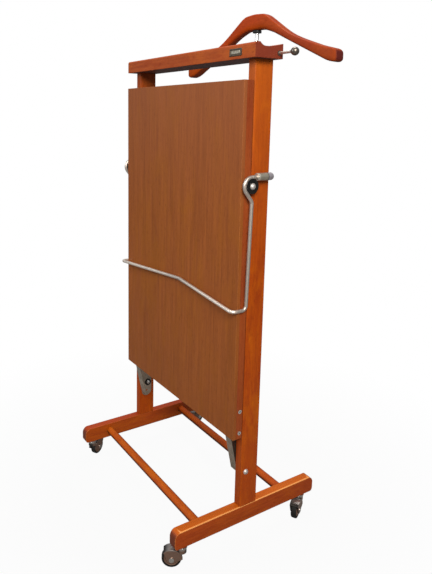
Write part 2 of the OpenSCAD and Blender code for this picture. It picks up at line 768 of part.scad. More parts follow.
module bail_pivot_bolts() {
    bush_in = wire_x - side_x - bush_w/2;
    bush_out = bush_in + bush_w;
    color("silver") for (sx = [-1, 1]) translate([sx*side_x, bail_y, bail_z]) rotate([0, sx*90, 0]) {
        translate([0, 0, -bail_bolt_in]) cylinder(d = bail_bolt_d, h = bail_bolt_in + bush_out + 1, $fn = 32);
        translate([0, 0, bush_out + side_gap]) dome(bail_head_d, bail_head_t);
        cylinder(d = collar_d, h = bush_in - side_gap, $fn = 32);
    }
}

// ---- hanger ----

// Softens the corners of a shape's line by averaging it over a short stretch
function soft_shape(t, shape) =
    let (w = shape_soften)
    (lookup(t - w, shape) + lookup(t - w/2, shape) + lookup(t, shape) + lookup(t + w/2, shape)
        + lookup(t + w, shape))/5;

// The hanger's top line and underside, as heights over its underside at the middle
function top_line(x) = mix(crown_h, tip_h - tip_drop, soft_shape(x/hanger_half, crown_shape));
function under_line(x) = -tip_drop*soft_shape(x/hanger_half, under_shape);

// Roundness of a tip, 1 along the arm and 0 at the very end
function tip_round(x) = x < tip_starts ? 1 : sqrt(max(0, 1 - pow((x - tip_starts)/tip_r, 2)));
function squarish(v, power) = sign(v)*pow(abs(v), power);

// How square the section's corners are: crisp on top, rounder below towards the middle
function edge_pow(rise, share) = rise > 0 ? crown_pow : mix(belly_pow, belly_tip_pow, share);

function hanger_ring(x) =
    let (a = abs(x), hi = top_line(a), lo = under_line(a), mid = (hi + lo)/2,
         half_h = (hi - lo)/2*mix(tip_end_h, 1, tip_round(a)),
         half_t = mix(hanger_t, tip_t, a/hanger_half)/2*mix(tip_end_t, 1, tip_round(a)))
    [for (k = [0:ring_sides - 1])
        let (q = 360*(k + 0.5)/ring_sides, power = edge_pow(sin(q), a/hanger_half))
        [x, half_t*squarish(cos(q), power), mid + half_h*squarish(sin(q), power)]];

module hanger_loft() {
    n = len(hanger_xs);
    pts = [for (x = hanger_xs) each hanger_ring(x)];
    walls = [for (i = [0:n - 2], k = [0:ring_sides - 1])
        let (k2 = (k + 1) % ring_sides, a = i*ring_sides)
        each [[a + k, a + k2, a + ring_sides + k2], [a + k, a + ring_sides + k2, a + ring_sides + k]]];
    ends = [[for (k = [ring_sides - 1:-1:0]) k],
            [for (k = [0:ring_sides - 1]) (n - 1)*ring_sides + k]];
    polyhedron(points = pts, faces = concat(walls, ends));
}

module hanger_bar() {
    color("orangered") translate([0, hanger_y, hanger_z]) rotate([0, 0, hanger_turn]) difference() {
        rotate([0, -hanger_lean, 0]) hanger_loft();
        translate([0, 0, -cap_t]) cylinder(d = plug_d + 2*fixing, h = plug_up + cap_t + joint_gap, $fn = 32);
        translate([0, 0, -cap_t]) cylinder(d = cap_d + 2*free_gap, h = cap_t, $fn = 48);
    }
}

module hanger_cap() {
    color("dimgray") translate([0, hanger_y, hanger_z]) difference() {
        union() {
            translate([0, 0, -cap_t]) cylinder(d = cap_d, h = cap_t - joint_gap, $fn = 48);
            translate([0, 0, -cap_t/2]) cylinder(d = plug_d, h = plug_up + cap_t/2, $fn = 32);
        }
        translate([0, 0, -cap_t - 1]) cylinder(d = spigot_d + 2*running, h = spigot_up + cap_t + 1, $fn = 32);
    }
}

// Places a piece on the post's slope, a distance along it from the tray's back face
module along_post(distance) {
    translate([0, tray_y1, post_z]) rotate([post_slope - 90, 0, 0]) translate([0, 0, distance]) children();
}

module hanger_post() {
    shoulder = hanger_z - cap_t - swivel_gap;
    color("silver") {
        along_post(-post_in) cylinder(d = post_rod_d, h = post_in + post_run + seam_lap, $fn = 48);
        translate([0, post_bend_y, post_bend_z]) rotate([0, 90, 0]) rotate([0, 0, post_slope])
            rotate_extrude(angle = post_turn, $fn = 96)
                translate([post_bend_r, 0]) circle(d = post_rod_d - seam_step, $fn = 48);
        translate([0, hanger_y, post_bend_z - seam_lap])
            cylinder(d = post_rod_d, h = shoulder - post_bend_z + seam_lap, $fn = 48);
        translate([0, hanger_y, shoulder - 1]) cylinder(d = spigot_d, h = cap_t + spigot_up, $fn = 48);
    }
}

module hanger_post_flange() {
    color("silver") difference() {
        translate([0, tray_y1, post_z]) rotate([-90, 0, 0])
            cylinder(d1 = post_flange_d, d2 = post_flange_d - post_flange_taper, h = post_flange_t, $fn = 48);
        along_post(-post_in) cylinder(d = post_rod_d + 2*fixing, h = 2*post_in, $fn = 48);
    }
}

// ---- casters ----

// Places a caster's pieces at its stem, turned on it; +X points the way the wheel trails
module at_caster(side) {
    translate([side_sign(side)*post_x, end_sign(side)*stem_y, 0]) rotate([0, 0, caster_turn[side]])
        children();
}

module at_axle() {
    translate([trail, 0, wheel_r]) rotate([90, 0, 0]) children();
}

module caster_stem(side) {
    low = neck_bottom + stem_up;
    color("silver") at_caster(side) {
        translate([0, 0, low]) cylinder(d = stem_d, h = rail_z + stem_len - low, $fn = 32);
        translate([0, 0, neck_bottom + ring_up]) cylinder(d = stem_ring_d, h = ring_t, $fn = 32);
        translate([0, 0, rail_z - flange_t]) cylinder(d = flange_d, h = flange_t, $fn = 48);
    }
}

// The sector of the hood that is left, seen along the axle
module hood_sector(w) {
    r = hood_boss_d/2;
    translate([0, 0, -w/2]) linear_extrude(w) polygon([
        [0, -r], [r, -r/2], [hood_reach*cos(hood_rear_angle), hood_reach*sin(hood_rear_angle) - r],
        [hood_reach, hood_reach], [-hood_reach, hood_reach],
        [-hood_reach*cos(hood_front_angle), hood_reach*sin(hood_front_angle)], [-r, -r/2]
    ]);
}

module caster_hood(side) {
    color("slategray") at_caster(side) difference() {
        union() {
            at_axle() intersection() {
                cylinder(r = hood_r, h = hood_w, center = true, $fn = 96);
                hood_sector(hood_w + 2);
            }
            at_axle() cylinder(d = hood_boss_d, h = hood_w, center = true, $fn = 48);
            translate([0, 0, neck_bottom]) cylinder(d = neck_d, h = neck_top - neck_bottom, $fn = 48);
        }
        at_axle() cylinder(r = wheel_r + hood_gap, h = hood_inner_w, center = true, $fn = 96);
        at_axle() cylinder(d = axle_d + 2*fixing, h = hood_w + 2, center = true, $fn = 32);
        cylinder(d = stem_d + 2*running, h = 2*neck_top, $fn = 32);
        translate([0, 0, neck_bottom + ring_up - swivel_gap])
            cylinder(d = stem_ring_d + 2*running, h = ring_t + 2*swivel_gap, $fn = 32);
    }
}

module caster_axle(side) {
    color("silver") at_caster(side) at_axle() {
        cylinder(d = axle_d, h = hood_w + 2*axle_head_t, center = true, $fn = 32);
        for (s = [-1, 1]) translate([0, 0, s*(hood_w/2 + axle_head_t/2)])
            cylinder(d = axle_head_d, h = axle_head_t, center = true, $fn = 32);
    }
}

// Half of the hub's section, from the axle out along one face to the middle of the rim
function hub_half(s) = [
    [0, s*hub_face_w/2], [rim_r - 2*rim_bead, s*hub_face_w/2], [rim_r - rim_bead, s*(tyre_w/2 - rim_bead/2)],
    [rim_r - rim_bead/2, s*(tyre_w/2 - rim_bead/4)], [rim_r, s*(tyre_w/2 - rim_bead/2)]
];

module caster_hub(side) {
    front = hub_half(-1);
    back = hub_half(1);
    color("tan") at_caster(side) at_axle() difference() {
        rotate_extrude($fn = 96) polygon(concat(front, [for (i = [len(back) - 1:-1:0]) back[i]]));
        cylinder(d = axle_d + 2*running, h = 2*hub_face_w, center = true, $fn = 32);
    }
}

module caster_tyre(side) {
    color("dimgray") at_caster(side) at_axle() difference() {
        union() {
            cylinder(r = wheel_r, h = tyre_w - 2*tyre_edge_r, center = true, $fn = 96);
            rotate_extrude($fn = 96) for (s = [-1, 1])
                translate([wheel_r - tyre_edge_r, s*(tyre_w/2 - tyre_edge_r)])
                    circle(r = tyre_edge_r, $fn = 32);
            cylinder(r = wheel_r - tyre_edge_r, h = tyre_w, center = true, $fn = 96);
        }
        cylinder(r = rim_r, h = tyre_w + 2, center = true, $fn = 96);
    }
}

upright(-1);  // upright_left
upright(1);  // upright_right
foot_rail(-1);  // foot_rail_left
foot_rail(1);  // foot_rail_right
stretcher(-1);  // stretcher_front
stretcher(1);  // stretcher_rear
tray();
frame_bolts();
side_bolts();
press_back_board();
press_back_felt();
door_pivot_bolts();
door_pivot_washers();
bail_pivot_bolts();
rod_ferrule();
hanger_post();
hanger_post_flange();
door_panel();
door_stile(-1);  // door_stile_left
door_stile(1);  // door_stile_right
door_batten(door_top - batten_w, stile_x);  // door_batten_top
door_batten(door_z, stile_x - arm_slot);  // door_batten_bottom
door_liner();
door_felt();
hinge_arm(-1);  // hinge_arm_left
hinge_arm(1);  // hinge_arm_right
hinge_arm_screws();
bail_wire();
bail_handle(-1);  // bail_handle_left
bail_handle(1);  // bail_handle_right
bail_bush(-1);  // bail_bush_left
bail_bush(1);  // bail_bush_right
tie_rod();
tie_rod_knob();
hanger_bar();
hanger_cap();
caster_stem(FRONT_LEFT);  // caster_stem_fl
caster_stem(FRONT_RIGHT);  // caster_stem_fr
caster_stem(REAR_LEFT);  // caster_stem_rl
caster_stem(REAR_RIGHT);  // caster_stem_rr
caster_hood(FRONT_LEFT);  // caster_hood_fl
caster_hood(FRONT_RIGHT);  // caster_hood_fr
caster_hood(REAR_LEFT);  // caster_hood_rl
caster_hood(REAR_RIGHT);  // caster_hood_rr
caster_axle(FRONT_LEFT);  // caster_axle_fl
caster_axle(FRONT_RIGHT);  // caster_axle_fr
caster_axle(REAR_LEFT);  // caster_axle_rl
caster_axle(REAR_RIGHT);  // caster_axle_rr
caster_hub(FRONT_LEFT);  // caster_hub_fl
caster_hub(FRONT_RIGHT);  // caster_hub_fr
caster_hub(REAR_LEFT);  // caster_hub_rl
caster_hub(REAR_RIGHT);  // caster_hub_rr
caster_tyre(FRONT_LEFT);  // caster_tyre_fl
caster_tyre(FRONT_RIGHT);  // caster_tyre_fr
caster_tyre(REAR_LEFT);  // caster_tyre_rl
caster_tyre(REAR_RIGHT);  // caster_tyre_rr
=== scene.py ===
import json
import math

import bmesh
import bpy
from mathutils import Matrix, Vector


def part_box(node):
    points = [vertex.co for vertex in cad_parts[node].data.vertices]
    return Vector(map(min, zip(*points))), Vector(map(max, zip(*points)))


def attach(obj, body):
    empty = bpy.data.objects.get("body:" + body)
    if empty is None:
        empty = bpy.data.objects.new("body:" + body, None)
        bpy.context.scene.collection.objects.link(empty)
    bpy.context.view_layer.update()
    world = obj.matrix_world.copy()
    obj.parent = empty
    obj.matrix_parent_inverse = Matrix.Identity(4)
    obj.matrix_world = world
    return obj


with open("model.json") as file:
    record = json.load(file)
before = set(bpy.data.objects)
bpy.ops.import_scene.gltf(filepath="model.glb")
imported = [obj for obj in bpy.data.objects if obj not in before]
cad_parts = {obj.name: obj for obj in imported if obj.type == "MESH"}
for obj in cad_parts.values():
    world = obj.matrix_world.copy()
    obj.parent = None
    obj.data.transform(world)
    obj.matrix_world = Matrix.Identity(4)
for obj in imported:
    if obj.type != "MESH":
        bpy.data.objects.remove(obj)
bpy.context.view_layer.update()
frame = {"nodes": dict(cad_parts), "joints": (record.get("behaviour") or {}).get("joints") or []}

nodes = frame["nodes"]
scene = bpy.context.scene
quarter = math.radians(90)
up, down = (0.0, 0.0, 1.0), (0.0, 0.0, -1.0)
forward, rightward = (0.0, -1.0, 0.0), (1.0, 0.0, 0.0)
print("stage: frame loaded,", len(nodes), "nodes")


def addNode(tree, kind, **settings):
    node = tree.nodes.new(kind)
    for key, value in settings.items():
        setattr(node, key, value)
    return node


def feed(tree, source, target):
    # source is a socket or a plain value
    if isinstance(source, bpy.types.NodeSocket):
        tree.links.new(source, target)
    else:
        target.default_value = source


def mathNode(tree, operation, a, b=None, clamp=False):
    node = addNode(tree, "ShaderNodeMath", operation=operation, use_clamp=clamp)
    feed(tree, a, node.inputs[0])
    if b is not None:
        feed(tree, b, node.inputs[1])
    return node.outputs[0]


def noiseNode(tree, vector, scale, detail, roughness=0.5, distortion=0.0):
    node = addNode(tree, "ShaderNodeTexNoise")
    feed(tree, vector, node.inputs["Vector"])
    node.inputs["Scale"].default_value = scale
    node.inputs["Detail"].default_value = detail
    node.inputs["Roughness"].default_value = roughness
    node.inputs["Distortion"].default_value = distortion
    return node.outputs["Fac"]


def stretchNode(tree, vector, scale, rotation=(0.0, 0.0, 0.0), location=(0.0, 0.0, 0.0)):
    node = addNode(tree, "ShaderNodeMapping", vector_type="POINT")
    node.inputs["Location"].default_value = location
    node.inputs["Rotation"].default_value = rotation
    node.inputs["Scale"].default_value = scale
    feed(tree, vector, node.inputs["Vector"])
    return node.outputs[0]


def rangeNode(tree, value, fromMin, fromMax, toMin=0.0, toMax=1.0):
    node = addNode(tree, "ShaderNodeMapRange")
    feed(tree, value, node.inputs["Value"])
    feed(tree, fromMin, node.inputs["From Min"])
    feed(tree, fromMax, node.inputs["From Max"])
    node.inputs["To Min"].default_value = toMin
    node.inputs["To Max"].default_value = toMax
    return node.outputs["Result"]


def mixColor(tree, fac, a, b):
    # the Mix node keeps its colour sockets at 6 and 7, and its colour output at 2
    node = addNode(tree, "ShaderNodeMix", data_type="RGBA")
    feed(tree, fac, node.inputs["Factor"])
    feed(tree, a, node.inputs[6])
    feed(tree, b, node.inputs[7])
    return node.outputs[2]


def tinted(tree, mask, amount, color, tint):
    return mixColor(tree, mathNode(tree, "MULTIPLY", mask, amount), color, tint)


def splitNode(tree, vector):
    node = addNode(tree, "ShaderNodeSeparateXYZ")
    feed(tree, vector, node.inputs[0])
    return node.outputs


def dotNode(tree, a, b):
    node = addNode(tree, "ShaderNodeVectorMath", operation="DOT_PRODUCT")
    feed(tree, a, node.inputs[0])
    feed(tree, b, node.inputs[1])
    return node.outputs["Value"]


def newGroup(name, inputs, outputs):
    group = bpy.data.node_groups.new(name, "ShaderNodeTree")
    for label, kind, value in inputs:
        socket = group.interface.new_socket(label, in_out="INPUT", socket_type=kind)
        if value is not None:
            socket.default_value = value
    for label, kind in outputs:
        group.interface.new_socket(label, in_out="OUTPUT", socket_type=kind)
    return group, addNode(group, "NodeGroupInput").outputs, addNode(group, "NodeGroupOutput").inputs


def useGroup(tree, group, **values):
    node = addNode(tree, "ShaderNodeGroup", node_tree=group)
    for label, value in values.items():
        feed(tree, value, node.inputs[label])
    return node.outputs


# scales are per metre; a draw below 1 stretches the noise along the grain
grainNoise = dict(
    streakDraw=0.045, patchDraw=0.3, fleckDraw=0.16,
    band=dict(scale=26.0, detail=3.0, roughness=0.55, distortion=0.6),
    fibre=dict(scale=190.0, detail=4.0, roughness=0.6, distortion=0.2),
    fine=dict(scale=700.0, detail=2.0),
    cloud=dict(scale=55.0, detail=5.0, roughness=0.66, distortion=0.8),
    amber=dict(scale=17.0, detail=3.0, roughness=0.6, distortion=1.0),
    pores=dict(scale=560.0, detail=2.0),
    contrast=1.5, patchRange=(0.46, 0.66), poreRange=(0.56, 0.68),
)


def makeGrainGroup():
    # Z of the vector runs along the grain
    s = grainNoise
    group, inp, out = newGroup(
        "woodGrain",
        [("Vector", "NodeSocketVector", None), ("Band", "NodeSocketFloat", 1.0),
         ("Fibre", "NodeSocketFloat", 1.0)],
        [("Tone", "NodeSocketFloat"), ("Cloud", "NodeSocketFloat"), ("Amber", "NodeSocketFloat"),
         ("Pores", "NodeSocketFloat"), ("Height", "NodeSocketFloat")],
    )
    streaky, patchy, flecked = (stretchNode(group, inp["Vector"], (1.0, 1.0, s[draw]))
                                for draw in ("streakDraw", "patchDraw", "fleckDraw"))
    band = noiseNode(group, streaky, **s["band"])
    fibre = noiseNode(group, streaky, **s["fibre"])
    fine = noiseNode(group, streaky, **s["fine"])
    bandPart = mathNode(group, "MULTIPLY", mathNode(group, "SUBTRACT", band, 0.5), inp["Band"])
    fibrePart = mathNode(group, "MULTIPLY", mathNode(group, "SUBTRACT", fibre, 0.5), inp["Fibre"])
    both = mathNode(group, "MULTIPLY", mathNode(group, "ADD", bandPart, fibrePart), s["contrast"])
    pores = rangeNode(group, noiseNode(group, flecked, **s["pores"]), *s["poreRange"])
    feed(group, mathNode(group, "ADD", both, 0.5, clamp=True), out["Tone"])
    feed(group, rangeNode(group, noiseNode(group, patchy, **s["cloud"]), *s["patchRange"]), out["Cloud"])
    feed(group, rangeNode(group, noiseNode(group, patchy, **s["amber"]), *s["patchRange"]), out["Amber"])
    feed(group, pores, out["Pores"])
    feed(group, mathNode(group, "SUBTRACT", mathNode(group, "ADD", fine, fibre), pores), out["Height"])
    return group


# how far the bevelled normal agrees with the real one, on a flat face and at a sharp edge
edgeTest = dict(samples=6, flat=0.995, sharp=0.86)


def makeEdgeGroup():
    # a soft normal at the arrises, and where they are
    group, inp, out = newGroup(
        "softEdge",
        [("Radius", "NodeSocketFloat", 0.001)],
        [("Mask", "NodeSocketFloat"), ("Normal", "NodeSocketVector")],
    )
    bevel = addNode(group, "ShaderNodeBevel", samples=edgeTest["samples"])
    feed(group, inp["Radius"], bevel.inputs["Radius"])
    geometry = addNode(group, "ShaderNodeNewGeometry")
    agreement = dotNode(group, bevel.outputs["Normal"], geometry.outputs["Normal"])
    feed(group, rangeNode(group, agreement, edgeTest["flat"], edgeTest["sharp"]), out["Mask"])
    feed(group, bevel.outputs["Normal"], out["Normal"])
    return group


wearNoise = dict(
    smudge=dict(scale=1.0, detail=5.0, roughness=0.6), smudgeRange=(0.35, 0.7),
    scratch=dict(scale=2.0, detail=2.0), scratchRange=(0.68, 0.74),
    scratchDraw=(14.0, 14.0, 0.5), scratchTurn=(0.4, 0.9, 0.3),
)


def makeWearGroup():
    s = wearNoise
    group, inp, out = newGroup(
        "wear",
        [("Vector", "NodeSocketVector", None), ("Scale", "NodeSocketFloat", 30.0)],
        [("Smudge", "NodeSocketFloat"), ("Scratch", "NodeSocketFloat")],
    )
    scaled = addNode(group, "ShaderNodeVectorMath", operation="SCALE")
    feed(group, inp["Vector"], scaled.inputs[0])
    feed(group, inp["Scale"], scaled.inputs["Scale"])
    drawn = stretchNode(group, scaled.outputs[0], s["scratchDraw"], rotation=s["scratchTurn"])
    smudge = noiseNode(group, scaled.outputs[0], **s["smudge"])
    feed(group, rangeNode(group, smudge, *s["smudgeRange"]), out["Smudge"])
    feed(group, rangeNode(group, noiseNode(group, drawn, **s["scratch"]), *s["scratchRange"]), out["Scratch"])
    return group


dustNoise = dict(
    specks=dict(scale=90.0, detail=6.0, roughness=0.7), speckRange=(0.42, 0.75), upRange=(0.55, 1.0),
)


def makeDustGroup():
    # thin dust on whatever faces up
    s = dustNoise
    group, inp, out = newGroup("dust", [("Vector", "NodeSocketVector", None)], [("Mask", "NodeSocketFloat")])
    normal = splitNode(group, addNode(group, "ShaderNodeNewGeometry").outputs["Normal"])
    upward = rangeNode(group, normal["Z"], *s["upRange"])
    specks = rangeNode(group, noiseNode(group, inp["Vector"], **s["specks"]), *s["speckRange"])
    feed(group, mathNode(group, "MULTIPLY", upward, specks), out["Mask"])
    return group


# cosines at which a face starts to count as looking along an axis, and at which it counts in full
endRange = (0.55, 0.9)
towardRange = (0.6, 0.9)


def makeFacingGroup():
    # which faces look along an axis: Ends counts both ways, Toward only the way the axis points
    group, inp, out = newGroup(
        "facing",
        [("Normal", "NodeSocketVector", None), ("Axis", "NodeSocketVector", up),
         ("Start", "NodeSocketFloat", towardRange[0]), ("Full", "NodeSocketFloat", towardRange[1])],
        [("Ends", "NodeSocketFloat"), ("Toward", "NodeSocketFloat")],
    )
    cosine = dotNode(group, inp["Normal"], inp["Axis"])
    feed(group, rangeNode(group, mathNode(group, "ABSOLUTE", cosine), *endRange), out["Ends"])
    feed(group, rangeNode(group, cosine, inp["Start"], inp["Full"]), out["Toward"])
    return group


grainGroup = makeGrainGroup()
edgeGroup = makeEdgeGroup()
wearGroup = makeWearGroup()
dustGroup = makeDustGroup()
facingGroup = makeFacingGroup()
print("stage: shader groups made")


def newMaterial(name):
    material = bpy.data.materials.new(name)
    material.use_nodes = True
    tree = material.node_tree
    tree.nodes.clear()
    output = addNode(tree, "ShaderNodeOutputMaterial")
    shader = addNode(tree, "ShaderNodeBsdfPrincipled")
    tree.links.new(shader.outputs["BSDF"], output.inputs["Surface"])
    coords = addNode(tree, "ShaderNodeTexCoord").outputs["Object"]
    return material, tree, shader, coords


def facing(tree, way, **limits):
    normal = addNode(tree, "ShaderNodeTexCoord").outputs["Normal"]
    return useGroup(tree, facingGroup, Normal=normal, Axis=way, **limits)


def bandMask(tree, coords, axis, start, end):
    # 1 past end along an axis of the frame, 0 before start
    return rangeNode(tree, splitNode(tree, coords)[axis], start, end)


def bumpNode(tree, height, strength, depth, normal=None):
    bump = addNode(tree, "ShaderNodeBump")
    bump.inputs["Strength"].default_value = strength
    bump.inputs["Distance"].default_value = depth
    feed(tree, height, bump.inputs["Height"])
    if normal is not None:
        feed(tree, normal, bump.inputs["Normal"])
    return bump.outputs["Normal"]


# red-brown stained beech under a satin varnish; shift moves the grain, so that no two pieces match
# faces and the arris highlights each hold a way, a share and a colour; both are painted light and shade,
# tinting the sides that look that way
# fades hold an axis, where they start and where they are full, a share and a colour
beechLook = dict(
    along="z", shift=(0.0, 0.0, 0.0), band=0.9, fibre=0.9,
    dark=(0.27, 0.036, 0.0015, 1), light=(0.46, 0.076, 0.0025, 1),
    amber=0.60, amberColor=(0.50, 0.115, 0.001, 1),
    cloud=0.50, cloudColor=(0.25, 0.028, 0.003, 1),
    pores=0.35, poreColor=(0.14, 0.018, 0.002, 1),
    endTint=0.55, endColor=(0.13, 0.025, 0.012, 1),
    # faces that look down are painted darker: painted shade
    faces=[(down, 0.35, (0.12, 0.03, 0.015, 1))],
    arrisHighlights=[], highlightStart=0.72, highlightFull=0.82,
    fades=[],
    arris=0.0014, edgeTint=0.45, edgeColor=(0.14, 0.026, 0.006, 1),
    wearScale=22.0, dust=0.03, dustColor=(0.45, 0.25, 0.15, 1),
    rough=0.48, roughDown=0.06, roughUp=0.08, specular=0.12, coat=0.03, coatRough=0.3,
    bump=0.12, depth=0.0004,
)
# turns the grain's own Z to the piece's long side
grainTurns = {"x": (0.0, quarter, 0.0), "y": (quarter, 0.0, 0.0), "z": (0.0, 0.0, 0.0)}
grainAxes = {"x": (1.0, 0.0, 0.0), "y": (0.0, 1.0, 0.0), "z": (0.0, 0.0, 1.0)}


def woodMaterial(name, **changes):
    look = {**beechLook, **changes}
    material, tree, shader, coords = newMaterial(name)
    turned = stretchNode(tree, coords, (1.0, 1.0, 1.0), grainTurns[look["along"]], look["shift"])
    grain = useGroup(tree, grainGroup, Vector=turned, Band=look["band"], Fibre=look["fibre"])
    edge = useGroup(tree, edgeGroup, Radius=look["arris"])
    wear = useGroup(tree, wearGroup, Vector=coords, Scale=look["wearScale"])
    dust = useGroup(tree, dustGroup, Vector=coords)
    color = mixColor(tree, grain["Tone"], look["dark"], look["light"])
    color = tinted(tree, grain["Amber"], look["amber"], color, look["amberColor"])
    color = tinted(tree, grain["Cloud"], look["cloud"], color, look["cloudColor"])
    color = tinted(tree, grain["Pores"], look["pores"], color, look["poreColor"])
    ends = facing(tree, grainAxes[look["along"]])["Ends"]
    color = tinted(tree, ends, look["endTint"], color, look["endColor"])
    # each face tint paints light or shade on the sides that look its way
    for way, share, faceColor in look["faces"]:
        color = tinted(tree, facing(tree, way)["Toward"], share, color, faceColor)
    # each arris highlight is a painted highlight along the arrises that look its way
    for way, share, highlightColor in look["arrisHighlights"]:
        arris = facing(tree, way, Start=look["highlightStart"], Full=look["highlightFull"])
        color = tinted(tree, arris["Toward"], share, color, highlightColor)
    for axis, start, end, share, fadeColor in look["fades"]:
        color = tinted(tree, bandMask(tree, coords, axis, start, end), share, color, fadeColor)
    color = tinted(tree, edge["Mask"], look["edgeTint"], color, look["edgeColor"])
    color = tinted(tree, dust["Mask"], look["dust"], color, look["dustColor"])
    feed(tree, color, shader.inputs["Base Color"])
    glossiest, dullest = look["rough"] - look["roughDown"], look["rough"] + look["roughUp"]
    feed(tree, rangeNode(tree, wear["Smudge"], 0.0, 1.0, glossiest, dullest), shader.inputs["Roughness"])
    shader.inputs["Specular IOR Level"].default_value = look["specular"]
    shader.inputs["Coat Weight"].default_value = look["coat"]
    shader.inputs["Coat Roughness"].default_value = look["coatRough"]
    normal = bumpNode(tree, grain["Height"], look["bump"], look["depth"], edge["Normal"])
    feed(tree, normal, shader.inputs["Normal"])
    return material


# cheeks hold an axis that is tinted at both its ends, a share and a colour; bands are written as fades are
metalLook = dict(
    cheeks=[], bands=[], edgeTint=0.5, dust=0.2, dustColor=(0.42, 0.38, 0.34, 1), scratchRough=0.12,
    depth=0.0002,
)


def metalMaterial(name, **changes):
    look = {**metalLook, **changes}
    material, tree, shader, coords = newMaterial(name)
    edge = useGroup(tree, edgeGroup, Radius=look["arris"])
    wear = useGroup(tree, wearGroup, Vector=coords, Scale=look["wearScale"])
    dust = useGroup(tree, dustGroup, Vector=coords)
    color = mixColor(tree, wear["Smudge"], look["color"], look["stain"])
    for way, share, cheekColor in look["cheeks"]:
        color = tinted(tree, facing(tree, way)["Ends"], share, color, cheekColor)
    for axis, start, end, share, bandColor in look["bands"]:
        color = tinted(tree, bandMask(tree, coords, axis, start, end), share, color, bandColor)
    color = tinted(tree, edge["Mask"], look["edgeTint"], color, look["edgeColor"])
    color = tinted(tree, dust["Mask"], look["dust"], color, look["dustColor"])
    feed(tree, color, shader.inputs["Base Color"])
    dullest = look["rough"] + look["roughSpread"]
    rough = rangeNode(tree, wear["Smudge"], 0.0, 1.0, look["rough"], dullest)
    scratches = mathNode(tree, "MULTIPLY", wear["Scratch"], look["scratchRough"])
    feed(tree, mathNode(tree, "ADD", rough, scratches), shader.inputs["Roughness"])
    shader.inputs["Metallic"].default_value = look["metallic"]
    height = mathNode(tree, "SUBTRACT", wear["Smudge"], wear["Scratch"])
    feed(tree, bumpNode(tree, height, look["bump"], look["depth"], edge["Normal"]), shader.inputs["Normal"])
    return material


plasticLook = dict(
    arris=0.0004, dustColor=(0.30, 0.28, 0.25, 1), roughSpread=0.15, specular=0.25,
    gritDetail=4.0, gritRoughness=0.6, depth=0.0002,
)


def plasticMaterial(name, **changes):
    look = {**plasticLook, **changes}
    material, tree, shader, coords = newMaterial(name)
    edge = useGroup(tree, edgeGroup, Radius=look["arris"])
    wear = useGroup(tree, wearGroup, Vector=coords, Scale=look["wearScale"])
    dust = useGroup(tree, dustGroup, Vector=coords)
    color = mixColor(tree, wear["Smudge"], look["color"], look["stain"])
    color = tinted(tree, dust["Mask"], look["dust"], color, look["dustColor"])
    feed(tree, color, shader.inputs["Base Color"])
    dullest = look["rough"] + look["roughSpread"]
    feed(tree, rangeNode(tree, wear["Smudge"], 0.0, 1.0, look["rough"], dullest), shader.inputs["Roughness"])
    shader.inputs["Specular IOR Level"].default_value = look["specular"]
    grit = noiseNode(tree, coords, look["gritScale"], look["gritDetail"], look["gritRoughness"])
    feed(tree, bumpNode(tree, grit, look["bump"], look["depth"], edge["Normal"]), shader.inputs["Normal"])
    return material


weldDistance = 0.000002
sharpAngle = math.radians(28)


def makeSmoothGroup():
    # welds each piece and shades it smooth, but for its sharp edges
    group = bpy.data.node_groups.new("smoothByAngle", "GeometryNodeTree")
    group.interface.new_socket("Geometry", in_out="INPUT", socket_type="NodeSocketGeometry")
    group.interface.new_socket("Geometry", in_out="OUTPUT", socket_type="NodeSocketGeometry")
    inp = addNode(group, "NodeGroupInput")
    out = addNode(group, "NodeGroupOutput")
    weld = addNode(group, "GeometryNodeMergeByDistance")
    weld.inputs["Distance"].default_value = weldDistance
    angle = addNode(group, "GeometryNodeInputMeshEdgeAngle")
    sharp = addNode(group, "FunctionNodeCompare", data_type="FLOAT", operation="GREATER_THAN")
    sharp.inputs[1].default_value = sharpAngle
    smoothFaces = addNode(group, "GeometryNodeSetShadeSmooth", domain="FACE")
    sharpEdges = addNode(group, "GeometryNodeSetShadeSmooth", domain="EDGE")
    sharpEdges.inputs["Shade Smooth"].default_value = False
    feed(group, inp.outputs[0], weld.inputs["Geometry"])
    feed(group, weld.outputs["Geometry"], smoothFaces.inputs["Geometry"])
    feed(group, smoothFaces.outputs["Geometry"], sharpEdges.inputs["Geometry"])
    feed(group, angle.outputs["Unsigned Angle"], sharp.inputs[0])
    feed(group, sharp.outputs["Result"], sharpEdges.inputs["Selection"])
    feed(group, sharpEdges.outputs["Geometry"], out.inputs[0])
    return group


smoothGroup = makeSmoothGroup()


def smoothPiece(piece):
    smooth = piece.modifiers.new("smooth", "NODES")
    smooth.node_group = smoothGroup


dressed = set()


def dress(material, *names):
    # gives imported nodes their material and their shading
    for name in names:
        dressed.add(name)
        nodes[name].data.materials.clear()
        nodes[name].data.materials.append(material)
        smoothPiece(nodes[name])


# painted shade: the left upright is painted darker towards the tray; the right one has painted shade on its
# front face and painted light that makes it paler above, and is darker towards the foot
uprightLooks = dict(
    left=dict(shift=(0.3, 0.1, 0.4), fades=[("Z", 0.80, 1.02, 0.6, (0.13, 0.022, 0.014, 1))]),
    right=dict(shift=(0.0, 0.2, 0.0), faces=[(forward, 0.35, (0.20, 0.036, 0.012, 1))],
               fades=[("Z", 0.55, 0.95, 0.35, (0.56, 0.13, 0.012, 1)),
                      ("Z", 0.45, 0.15, 0.25, (0.26, 0.035, 0.004, 1))]),
)
# the rails' arrises get a bright edge colour: a painted highlight
railLook = dict(
    along="y", dark=(0.24, 0.032, 0.003, 1), light=(0.40, 0.064, 0.006, 1), amber=0.35,
    endTint=0.85, endColor=(0.10, 0.022, 0.010, 1),
    arris=0.0020, edgeTint=0.6, edgeColor=(0.70, 0.27, 0.06, 1), coat=0.12,
)
